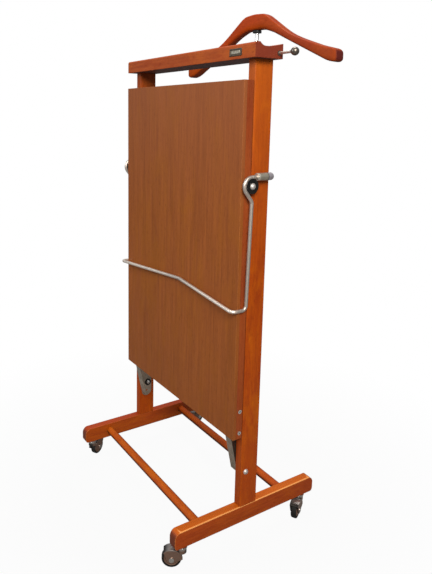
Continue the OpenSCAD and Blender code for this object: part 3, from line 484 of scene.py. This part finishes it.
# painted light: the right rail has a painted highlight along its upper right arris and its top is painted
# lighter, while the left rail's top is painted a deeper red
railLooks = dict(
    left=dict(railLook, shift=(0.7, 0.0, 0.2), faces=[(up, 0.6, (0.32, 0.032, 0.008, 1))]),
    right=dict(railLook, shift=(0.1, 0.4, 0.5), faces=[(up, 0.5, (0.60, 0.13, 0.003, 1))],
               arrisHighlights=[((0.707, 0.0, 0.707), 0.65, (0.95, 0.42, 0.13, 1))]),
)
# painted shade: a stretcher is painted dark low on its front and browner high on its back
stretcherLook = dict(along="x", faces=[((0.0, -0.85, -0.53), 0.9, (0.07, 0.011, 0.003, 1)),
                                       ((0.0, 0.90, 0.44), 0.4, (0.18, 0.022, 0.004, 1))])
stretcherShifts = dict(front=(0.2, 0.6, 0.1), rear=(0.5, 0.9, 0.3))


def dressFrame():
    for side, look in uprightLooks.items():
        dress(woodMaterial("beechUpright" + side.capitalize(), **look), "upright_" + side)
    for side, look in railLooks.items():
        dress(woodMaterial("beechRail" + side.capitalize(), **look), "foot_rail_" + side)
    for place, shift in stretcherShifts.items():
        stained = woodMaterial("beechStretcher" + place.capitalize(), **stretcherLook, shift=shift)
        dress(stained, "stretcher_" + place)


dressFrame()

# the tray's underside is painted dark grey: painted shade
trayLook = dict(
    along="x", shift=(0.9, 0.3, 0.7), dark=(0.24, 0.038, 0.006, 1), light=(0.40, 0.078, 0.014, 1), amber=0.3,
    endTint=0.8, endColor=(0.16, 0.026, 0.016, 1), faces=[(down, 0.85, (0.088, 0.053, 0.050, 1))],
)
nickelLook = dict(
    color=(0.68, 0.60, 0.53, 1), stain=(0.50, 0.43, 0.38, 1), edgeColor=(0.78, 0.71, 0.64, 1),
    arris=0.0004, wearScale=60.0, rough=0.40, roughSpread=0.14, metallic=0.9, bump=0.08,
)
darkNickelLook = dict(
    color=(0.22, 0.19, 0.16, 1), stain=(0.12, 0.10, 0.085, 1), edgeColor=(0.45, 0.42, 0.38, 1),
    arris=0.0003, wearScale=90.0, rough=0.3, roughSpread=0.16, metallic=0.9, bump=0.08,
)
dress(woodMaterial("beechTray", **trayLook), "tray")
dress(metalMaterial("satinNickel", **nickelLook), "tie_rod")
dress(metalMaterial("darkNickel", **darkNickelLook), "tie_rod_knob", "rod_ferrule")

# the press: a veneered front, beech stiles and battens, and plain board behind the felts
veneerLook = dict(
    band=0.5, fibre=1.05, dark=(0.196, 0.053, 0.012, 1), light=(0.335, 0.095, 0.021, 1),
    amber=0.40, amberColor=(0.30, 0.092, 0.006, 1), cloud=0.20, cloudColor=(0.20, 0.045, 0.012, 1),
    pores=0.26, poreColor=(0.10, 0.024, 0.004, 1), endTint=0.3,
    arris=0.0009, edgeTint=0.5, edgeColor=(0.46, 0.19, 0.07, 1), rough=0.5, coat=0.0,
    # painted light: the veneer is painted greyer towards the top; it is also darker towards the bottom
    fades=[("Z", 0.65, 0.95, 0.35, (0.29, 0.092, 0.042, 1)), ("Z", 0.5, 0.2, 0.3, (0.21, 0.060, 0.012, 1))],
)
stileLook = dict(dark=(0.18, 0.033, 0.008, 1), light=(0.30, 0.060, 0.017, 1), amber=0.15, cloud=0.3)
stileShifts = dict(left=(1.3, 0.5, 0.6), right=(1.7, 0.1, 0.9))
battenShifts = dict(top=(1.1, 0.8, 0.2), bottom=(1.9, 0.2, 0.8))
boardLook = dict(
    along="x", band=0.7, fibre=0.8, dark=(0.25, 0.10, 0.036, 1), light=(0.38, 0.17, 0.066, 1),
    amber=0.3, amberColor=(0.36, 0.15, 0.050, 1), cloud=0.2, cloudColor=(0.24, 0.09, 0.032, 1),
    pores=0.25, poreColor=(0.15, 0.06, 0.024, 1), endTint=0.2, faces=[],
    edgeTint=0.3, edgeColor=(0.42, 0.22, 0.10, 1), rough=0.6, coat=0.0,
)
feltLook = dict(
    dark=(0.07, 0.05, 0.035, 1), light=(0.16, 0.12, 0.09, 1),
    fuzz=dict(scale=1400.0, detail=5.0, roughness=0.75), patch=dict(scale=25.0, detail=3.0, roughness=0.6),
    roughLow=0.85, sheen=0.5, sheenRough=0.4, bump=0.6, depth=0.0006,
)


def makeFelt():
    s = feltLook
    material, tree, shader, coords = newMaterial("felt")
    fuzz = noiseNode(tree, coords, **s["fuzz"])
    patch = noiseNode(tree, coords, **s["patch"])
    blend = mathNode(tree, "MULTIPLY", mathNode(tree, "ADD", fuzz, patch), 0.5)
    feed(tree, mixColor(tree, blend, s["dark"], s["light"]), shader.inputs["Base Color"])
    feed(tree, rangeNode(tree, fuzz, 0.0, 1.0, s["roughLow"], 1.0), shader.inputs["Roughness"])
    shader.inputs["Sheen Weight"].default_value = s["sheen"]
    shader.inputs["Sheen Roughness"].default_value = s["sheenRough"]
    feed(tree, bumpNode(tree, fuzz, s["bump"], s["depth"]), shader.inputs["Normal"])
    return material


def dressPress():
    dress(woodMaterial("veneer", **veneerLook), "door_panel")
    dress(woodMaterial("board", **boardLook), "press_back_board", "door_liner")
    dress(makeFelt(), "press_back_felt", "door_felt")
    for side, shift in stileShifts.items():
        dress(woodMaterial("beechStile" + side.capitalize(), **stileLook, shift=shift), "door_stile_" + side)
    for end, shift in battenShifts.items():
        dress(woodMaterial("beechBatten" + end.capitalize(), along="x", shift=shift), "door_batten_" + end)


dressPress()

armLook = dict(
    color=(0.52, 0.45, 0.36, 1), stain=(0.28, 0.24, 0.19, 1), edgeColor=(0.74, 0.68, 0.60, 1),
    arris=0.0004, wearScale=70.0, rough=0.40, roughSpread=0.2, metallic=0.9, bump=0.1,
)
# painted shade: the right arm's flat sides are painted darker than its folded lip
rightArmShade = [(rightward, 1.0, (0.085, 0.078, 0.065, 1))]
dress(metalMaterial("armSteel", **armLook), "hinge_arm_left")
dress(metalMaterial("armSteelRight", **armLook, cheeks=rightArmShade), "hinge_arm_right")

# painted light: the bail's wire is painted brighter where it crosses in front of the door
# start and full are distances behind the wire's front
wireHighlight = dict(start=0.012, full=0.006, share=0.9, color=(0.92, 0.80, 0.70, 1))
# each handle has a pale collar, the sleeve, a dark seam and a grey-violet cap, from the bush outward
# the ends and the start are shares of its length, and soft is how far a colour runs out
handleLook = dict(
    color=(0.52, 0.47, 0.38, 1), stain=(0.38, 0.34, 0.28, 1), edgeColor=(0.74, 0.70, 0.62, 1),
    arris=0.0004, wearScale=110.0, rough=0.42, roughSpread=0.16, metallic=0.85, bump=0.1,
)
handleBands = dict(
    collarEnd=0.10, seamStart=0.62, seamEnd=0.67, soft=0.0003, seamShare=0.85,
    collarColor=(0.80, 0.75, 0.66, 1), seamColor=(0.10, 0.08, 0.08, 1), capColor=(0.50, 0.46, 0.50, 1),
)


def wireBands():
    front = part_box("bail_wire")[0][1]
    return [("Y", front + wireHighlight["start"], front + wireHighlight["full"], wireHighlight["share"], wireHighlight["color"])]


def sleeveBands(side):
    s = handleBands
    low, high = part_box("bail_handle_" + side)
    length = high[1] - low[1]
    collarEnd, seamStart, seamEnd = (low[1] + s[key]*length for key in ("collarEnd", "seamStart", "seamEnd"))
    return [("Y", collarEnd + s["soft"], collarEnd, 1.0, s["collarColor"]),
            ("Y", seamStart, seamStart + s["soft"], s["seamShare"], s["seamColor"]),
            ("Y", seamEnd, seamEnd + s["soft"], 1.0, s["capColor"])]


dress(metalMaterial("wireNickel", **nickelLook, bands=wireBands()), "bail_wire")
for side in ("left", "right"):
    sleeve = metalMaterial("handleMetal_" + side, **handleLook, bands=sleeveBands(side))
    dress(sleeve, "bail_handle_" + side)

# painted shade: the hanger is painted darker towards its right arm
hangerLook = dict(
    along="x", shift=(2.3, 0.7, 0.3), dark=(0.25, 0.026, 0.002, 1), light=(0.40, 0.050, 0.006, 1),
    amber=0.3, cloud=0.3, endTint=1.0, endColor=(0.07, 0.008, 0.011, 1),
    rough=0.5, specular=0.06, coat=0.0, fades=[("X", 0.0, 0.12, 0.4, (0.17, 0.030, 0.015, 1))],
)
postLook = dict(
    color=(0.70, 0.68, 0.65, 1), stain=(0.60, 0.58, 0.56, 1), edgeColor=(0.76, 0.74, 0.72, 1),
    arris=0.0003, wearScale=14.0, rough=0.30, roughSpread=0.08, metallic=0.9, bump=0.0,
)
blackNylonLook = dict(
    color=(0.004, 0.004, 0.004, 1), stain=(0.010, 0.009, 0.008, 1), wearScale=80.0, dust=0.08,
    rough=0.45, gritScale=900.0, bump=0.15,
)
dress(woodMaterial("beechHanger", **hangerLook), "hanger_bar")
dress(metalMaterial("postSteel", **postLook), "hanger_post", "hanger_post_flange")
dress(plasticMaterial("blackNylon", **blackNylonLook),
      "hanger_cap", "bail_bush_left", "bail_bush_right", "door_pivot_washers")

# the casters: brown cheeks, a black-lacquered rim and a grey top round the stem
# the band starts 37.5 mm above the floor and is full at 41 mm
hoodLook = dict(
    color=(0.050, 0.045, 0.042, 1), stain=(0.025, 0.022, 0.020, 1), edgeColor=(0.34, 0.30, 0.27, 1),
    arris=0.0005, wearScale=90.0, rough=0.28, roughSpread=0.2, metallic=0.8, bump=0.12,
    bands=[("Z", 0.0375, 0.041, 0.9, (0.42, 0.39, 0.37, 1))],
)
hoodCheek = dict(share=1.0, color=(0.26, 0.16, 0.12, 1))
hubLook = dict(
    color=(0.30, 0.17, 0.12, 1), stain=(0.14, 0.075, 0.05, 1), edgeColor=(0.58, 0.46, 0.38, 1),
    arris=0.0005, wearScale=90.0, rough=0.3, roughSpread=0.22, metallic=0.6, bump=0.12,
)
tyreLook = dict(
    color=(0.005, 0.005, 0.005, 1), stain=(0.014, 0.013, 0.012, 1), wearScale=60.0, dust=0.15,
    rough=0.6, gritScale=1300.0, bump=0.3,
)
brightSteelLook = dict(
    color=(0.72, 0.70, 0.67, 1), stain=(0.50, 0.48, 0.45, 1), edgeColor=(0.82, 0.80, 0.78, 1),
    arris=0.0003, wearScale=120.0, rough=0.22, roughSpread=0.16, metallic=1.0, bump=0.06,
)
satinSteelLook = dict(
    color=(0.74, 0.69, 0.66, 1), stain=(0.58, 0.54, 0.51, 1), edgeColor=(0.80, 0.77, 0.74, 1),
    arris=0.0003, wearScale=120.0, rough=0.46, roughSpread=0.14, metallic=0.85, bump=0.06,
)
brightSteel = metalMaterial("brightSteel", **brightSteelLook)


def dressCasters():
    hub = metalMaterial("hubMetal", **hubLook)
    rubber = plasticMaterial("rubber", **tyreLook)
    for joint in frame["joints"]:
        if joint["name"].startswith("wheel_roll_"):
            corner = joint["name"][-2:]
            # the hood's cheeks face along the axle that the wheel rolls on
            cheeks = [(tuple(joint["axis"]), hoodCheek["share"], hoodCheek["color"])]
            dress(metalMaterial("hoodMetal_" + corner, **hoodLook, cheeks=cheeks), "caster_hood_" + corner)
            dress(brightSteel, "caster_stem_" + corner, "caster_axle_" + corner)
            dress(hub, "caster_hub_" + corner)
            dress(rubber, "caster_tyre_" + corner)


dressCasters()
dress(brightSteel, "frame_bolts", "door_pivot_bolts")
dress(metalMaterial("satinSteel", **satinSteelLook), "side_bolts", "bail_pivot_bolts", "hinge_arm_screws")
print("stage: CAD nodes finished,", len(dressed), "of", len(nodes))


def addPiece(name, form, material, body):
    mesh = bpy.data.meshes.new(name)
    bmesh.ops.recalc_face_normals(form, faces=form.faces)
    form.to_mesh(mesh)
    form.free()
    mesh.materials.append(material)
    piece = bpy.data.objects.new(name, mesh)
    scene.collection.objects.link(piece)
    smoothPiece(piece)
    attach(piece, body)


def stackRings(form, rings):
    # skins rings of equal count, each a list of points, and shuts both ends
    loops = [[form.verts.new(point) for point in ring] for ring in rings]
    for low, high in zip(loops, loops[1:]):
        for i in range(len(low)):
            j = (i + 1) % len(low)
            form.faces.new((low[i], low[j], high[j], high[i]))
    form.faces.new(list(reversed(loops[0])))
    form.faces.new(loops[-1])


def roundedOutline(width, height, radius, steps=6):
    points = []
    for cornerX, cornerZ, start in ((1, 1, 0), (-1, 1, 90), (-1, -1, 180), (1, -1, 270)):
        for i in range(steps + 1):
            angle = math.radians(start + 90*i/steps)
            points.append((cornerX*(width/2 - radius) + radius*math.cos(angle),
                           cornerZ*(height/2 - radius) + radius*math.sin(angle)))
    return points


# the bare plate on the front of the tray: a dished rim and a raised field
# sunk goes into the tray, and swell lifts the rim's crest
# the field's width and height are shares of the plate's
plateSizes = dict(
    x=0.1875, up=0.0125, width=0.036, height=0.0135, corner=0.0015, leastCorner=0.0003, thick=0.0010,
    sunk=0.0001, swell=0.0002, swellShare=0.35, rim=0.0016, dish=0.0004,
    fieldWidth=0.72, fieldHeight=0.42, fieldCorner=0.001, fieldRise=0.0003,
)
plateDarkLook = dict(
    color=(0.06, 0.045, 0.035, 1), stain=(0.12, 0.09, 0.06, 1), edgeColor=(0.32, 0.26, 0.18, 1),
    arris=0.0002, wearScale=200.0, rough=0.4, roughSpread=0.2, metallic=0.7, bump=0.1,
)
plateBrightLook = dict(
    color=(0.55, 0.50, 0.40, 1), stain=(0.26, 0.22, 0.16, 1), edgeColor=(0.65, 0.60, 0.50, 1),
    arris=0.0002, wearScale=260.0, rough=0.3, roughSpread=0.2, metallic=0.9, bump=0.1,
)


def makePlate():
    s = plateSizes
    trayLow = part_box("tray")[0]
    frontY, middleZ = trayLow[1], trayLow[2] + s["up"]

    def ringAt(outline, proud):
        return [(s["x"] + x, frontY - proud, middleZ + z) for x, z in outline]

    thick, rim, dish = s["thick"], s["rim"], s["dish"]
    crest = thick + s["swell"]
    levels = [(0.0, -s["sunk"]), (0.0, thick), (rim*s["swellShare"], crest), (rim, crest),
              (rim + dish, thick - dish)]
    rings = []
    for inset, proud in levels:
        corner = max(s["corner"] - inset, s["leastCorner"])
        rings.append(ringAt(roundedOutline(s["width"] - 2*inset, s["height"] - 2*inset, corner), proud))
    form = bmesh.new()
    stackRings(form, rings)
    addPiece("plate_rim", form, metalMaterial("plateDark", **plateDarkLook), "stand")
    width, height, rise = s["width"]*s["fieldWidth"], s["height"]*s["fieldHeight"], s["fieldRise"]
    rings = []
    for inset, proud in ((0.0, thick - dish), (0.0, thick), (rise, thick + rise)):
        rings.append(ringAt(roundedOutline(width - 2*inset, height - 2*inset, s["fieldCorner"]), proud))
    form = bmesh.new()
    stackRings(form, rings)
    addPiece("plate_field", form, metalMaterial("plateBright", **plateBrightLook), "stand")


makePlate()

# driver recesses, thin dark patches that paint the shade in the hollows: a cross on the hinge screws, a slot
# on the side bolts, a dimple on the pivots
# a head's height is that of its dome, and 0 where it is flat
recessSizes = dict(crossLong=0.0022, crossHalf=0.00045, crossTurn=0.35, slotLong=0.0045, slotHalf=0.0006,
                   slotTurn=0.9, dimple=0.0013, proud=0.00004, sink=0.0004)
headHeights = dict(hinge_arm_screws=0.0, side_bolts=0.004, bail_pivot_bolts=0.0045, door_pivot_bolts=0.0035)
recessShadeLook = dict(
    color=(0.02, 0.018, 0.016, 1), stain=(0.06, 0.05, 0.045, 1), wearScale=300.0, dust=0.0,
    rough=0.5, gritScale=2000.0, bump=0.1,
)
recessShade = plasticMaterial("recessShade", **recessShadeLook)


def domeFall(reach, headRadius, headHeight):
    # height lost by a dome at a distance from its middle
    if headHeight == 0:
        return 0.0
    radius = (headRadius*headRadius + headHeight*headHeight)/(2*headHeight)
    return radius - math.sqrt(radius*radius - reach*reach)


def recessPatch(form, top, outward, outline, headRadius, headHeight):
    # a thin patch whose face follows the head; outline is in the head's own plane
    rings = []
    for lift in (-recessSizes["sink"], recessSizes["proud"]):
        ring = []
        for a, b in outline:
            fall = domeFall(math.hypot(a, b), headRadius, headHeight)
            ring.append((top[0] + outward*(lift - fall), top[1] + a, top[2] + b))
        rings.append(ring)
    stackRings(form, rings)


def barOutline(long, half, turn, steps=8):
    # a narrow bar cut into short lengths, so that it can bend over a dome
    edge = [(-long + 2*long*i/steps, half) for i in range(steps + 1)]
    points = edge + [(a, -b) for a, b in reversed(edge)]
    c, s = math.cos(turn), math.sin(turn)
    return [(c*a - s*b, s*a + c*b) for a, b in points]


def circleOutline(radius, count=20):
    return [(radius*math.cos(2*math.pi*i/count), radius*math.sin(2*math.pi*i/count)) for i in range(count)]


def nodeIslands(name):
    # the lowest and the highest corner of each separate solid in a node's mesh
    form = bmesh.new()
    form.from_mesh(nodes[name].data)
    bmesh.ops.remove_doubles(form, verts=form.verts, dist=weldDistance)
    waiting = set(form.verts)
    islands = []
    while waiting:
        stack = [waiting.pop()]
        points = []
        while stack:
            vert = stack.pop()
            points.append(vert.co.copy())
            for edge in vert.link_edges:
                other = edge.other_vert(vert)
                if other in waiting:
                    waiting.remove(other)
                    stack.append(other)
        low = [min(point[i] for point in points) for i in range(3)]
        high = [max(point[i] for point in points) for i in range(3)]
        islands.append((low, high))
    form.free()
    return sorted(islands)


def makeRecesses(piece, node, body, outlines, facesOut=True):
    form = bmesh.new()
    for low, high in nodeIslands(node):
        outward = 1 if low[0] + high[0] > 0 else -1
        if not facesOut:
            outward = -outward
        top = (high[0] if outward > 0 else low[0], (low[1] + high[1])/2, (low[2] + high[2])/2)
        radius = (high[2] - low[2])/2
        for outline in outlines:
            recessPatch(form, top, outward, outline, radius, headHeights[node])
    addPiece(piece, form, recessShade, body)


def makeAllRecesses():
    s = recessSizes
    cross = [barOutline(s["crossLong"], s["crossHalf"], s["crossTurn"] + turn) for turn in (0.0, quarter)]
    slot = [barOutline(s["slotLong"], s["slotHalf"], s["slotTurn"])]
    dimple = [circleOutline(s["dimple"])]
    makeRecesses("hinge_screw_crosses", "hinge_arm_screws", "press_door", cross)
    makeRecesses("side_bolt_slots", "side_bolts", "stand", slot)
    makeRecesses("bail_bolt_dimples", "bail_pivot_bolts", "press_door", dimple)
    makeRecesses("door_bolt_dimples", "door_pivot_bolts", "stand", dimple, facesOut=False)


makeAllRecesses()
print("stage: small pieces made")

# the paper glows towards white, fully so away from the stand
floorLook = dict(
    radius=30.0, corners=64, mottle=dict(scale=3.0, detail=4.0, roughness=0.6), rough=0.8,
    dark=(0.20, 0.195, 0.19, 1), light=(0.23, 0.225, 0.22, 1),
    glowStart=0.3, glowEnd=0.9, glowNear=0.95, glowFar=1.0,
)


def makeFloor():
    s = floorLook
    mesh = bpy.data.meshes.new("studioFloor")
    form = bmesh.new()
    form.faces.new([form.verts.new((x, y, 0.0)) for x, y in circleOutline(s["radius"], s["corners"])])
    form.to_mesh(mesh)
    form.free()
    floor = bpy.data.objects.new("studioFloor", mesh)
    scene.collection.objects.link(floor)
    material, tree, shader, coords = newMaterial("paleFloor")
    paper = mixColor(tree, noiseNode(tree, coords, **s["mottle"]), s["dark"], s["light"])
    feed(tree, paper, shader.inputs["Base Color"])
    shader.inputs["Roughness"].default_value = s["rough"]
    distance = addNode(tree, "ShaderNodeVectorMath", operation="LENGTH")
    feed(tree, coords, distance.inputs[0])
    glow = addNode(tree, "ShaderNodeEmission")
    glow.inputs["Color"].default_value = (1, 1, 1, 1)
    seen = addNode(tree, "ShaderNodeLightPath").outputs["Is Camera Ray"]
    reach = distance.outputs["Value"]
    share = rangeNode(tree, reach, s["glowStart"], s["glowEnd"], s["glowNear"], s["glowFar"])
    pick = addNode(tree, "ShaderNodeMixShader")
    feed(tree, mathNode(tree, "MULTIPLY", share, seen), pick.inputs[0])
    tree.links.new(shader.outputs["BSDF"], pick.inputs[1])
    tree.links.new(glow.outputs[0], pick.inputs[2])
    output = next(node for node in tree.nodes if node.bl_idname == "ShaderNodeOutputMaterial")
    tree.links.new(pick.outputs[0], output.inputs["Surface"])
    mesh.materials.append(material)


makeFloor()

lamps = dict(
    keyLight=dict(place=(2.0, -1.1, 1.9), target=(0.0, 0.0, 0.9), size=1.1, power=70.0,
                  color=(1.0, 0.97, 0.90)),
    fillLight=dict(place=(-1.2, -2.6, 2.0), target=(0.0, 0.0, 0.8), size=1.8, power=38.0,
                   color=(0.88, 0.94, 1.0)),
    topLight=dict(place=(-0.5, 0.3, 2.8), target=(0.0, 0.0, 0.6), size=1.4, power=40.0,
                  color=(1.0, 0.98, 0.95)),
)


def areaLight(name, place, target, size, power, color):
    light = bpy.data.lights.new(name, "AREA")
    light.shape = "DISK"
    light.size = size
    light.energy = power
    light.color = color
    lamp = bpy.data.objects.new(name, light)
    lamp.location = place
    lamp.rotation_euler = (Vector(target) - Vector(place)).to_track_quat("-Z", "Y").to_euler()
    scene.collection.objects.link(lamp)


for name, look in lamps.items():
    areaLight(name, **look)

# the camera sees white, and the stand is lit by a dimmer sky
worldLook = dict(seen=(1, 1, 1, 1), seenStrength=1.0, sky=(0.96, 0.98, 1.0, 1), skyStrength=0.32)


def makeWorld():
    s = worldLook
    world = bpy.data.worlds.new("studio")
    scene.world = world
    world.use_nodes = True
    tree = world.node_tree
    tree.nodes.clear()
    out = addNode(tree, "ShaderNodeOutputWorld")
    white = addNode(tree, "ShaderNodeBackground")
    white.inputs["Color"].default_value = s["seen"]
    white.inputs["Strength"].default_value = s["seenStrength"]
    sky = addNode(tree, "ShaderNodeBackground")
    sky.inputs["Color"].default_value = s["sky"]
    sky.inputs["Strength"].default_value = s["skyStrength"]
    path = addNode(tree, "ShaderNodeLightPath")
    pick = addNode(tree, "ShaderNodeMixShader")
    tree.links.new(path.outputs["Is Camera Ray"], pick.inputs[0])
    tree.links.new(sky.outputs[0], pick.inputs[1])
    tree.links.new(white.outputs[0], pick.inputs[2])
    tree.links.new(pick.outputs[0], out.inputs["Surface"])


makeWorld()
scene.view_settings.view_transform = "Standard"

# where the photograph was taken from; the lens is in pixels of a frame 432 by 574
cameraLook = dict(place=(1.05145, -0.6965, 0.86685), yaw=57.91, pitch=9.84, roll=0.8, lens=572.3,
                  centre=(178.5, 218.3), frame=(432, 574), sensor=24.0)


def makeCamera():
    s = cameraLook
    yaw, pitch, roll = (math.radians(s[key]) for key in ("yaw", "pitch", "roll"))
    ahead = Vector((-math.sin(yaw)*math.cos(pitch), math.cos(yaw)*math.cos(pitch), -math.sin(pitch)))
    level = ahead.cross(Vector((0, 0, 1))).normalized()
    upright = level.cross(ahead)
    rightWay = math.cos(roll)*level + math.sin(roll)*upright
    upWay = -math.sin(roll)*level + math.cos(roll)*upright
    width, height = s["frame"]
    data = bpy.data.cameras.new("photoCamera")
    data.sensor_fit = "VERTICAL"
    data.sensor_height = s["sensor"]
    data.lens = s["lens"]/height*data.sensor_height
    data.shift_x = (width/2 - s["centre"][0])/height
    data.shift_y = (s["centre"][1] - height/2)/height
    camera = bpy.data.objects.new("photoCamera", data)
    turn = Matrix((rightWay, upWay, -ahead)).transposed()
    camera.matrix_world = Matrix.Translation(Vector(s["place"])) @ turn.to_4x4()
    scene.collection.objects.link(camera)
    scene.camera = camera


makeCamera()
print("stage: light and camera set")
